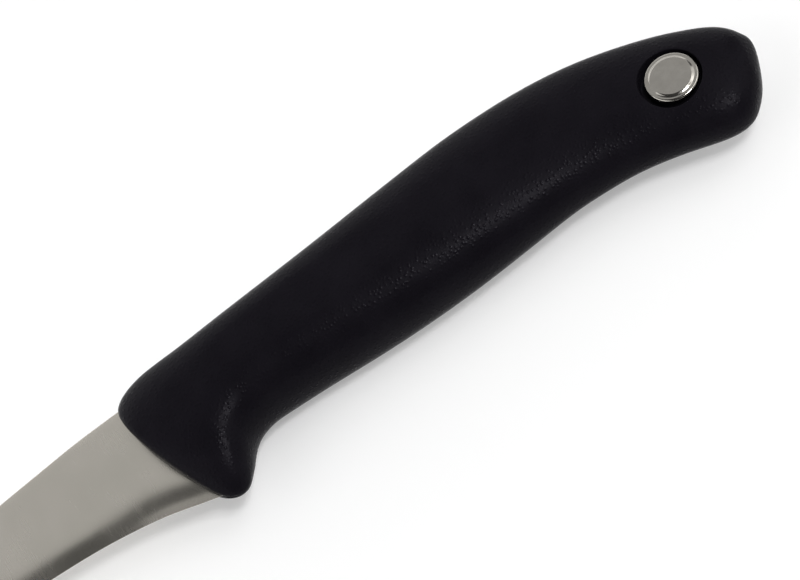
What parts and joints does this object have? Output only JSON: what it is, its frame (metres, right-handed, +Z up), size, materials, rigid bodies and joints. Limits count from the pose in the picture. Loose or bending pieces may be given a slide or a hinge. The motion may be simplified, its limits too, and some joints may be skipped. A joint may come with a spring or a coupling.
{
  "type": "paring knife",
  "caption": "Paring knife lying on its side, with a slim hollow-ground steel blade, a moulded black handle with a finger guard and drooped butt, and a round rivet in a recess near the end",
  "frame": {"origin": "centre of the knife's length and height, at the lowest point of the handle's under side as the knife lies on its side", "axes": "+X from the blade tip to the butt of the handle, +Y from the cutting edge to the spine, +Z up through the thickness of the blade"},
  "size_m": [0.1958, 0.0278, 0.0144],
  "materials": {
    "blade_steel": "fine satin",
    "handle_plastic": "fine moulded grain",
    "rivet_steel": "polished"
  },
  "bodies": {
    "root": {"blade": "blade_steel", "handle": "handle_plastic", "rivet_male": "rivet_steel", "rivet_female": "rivet_steel"}
  },
  "joints": []
}
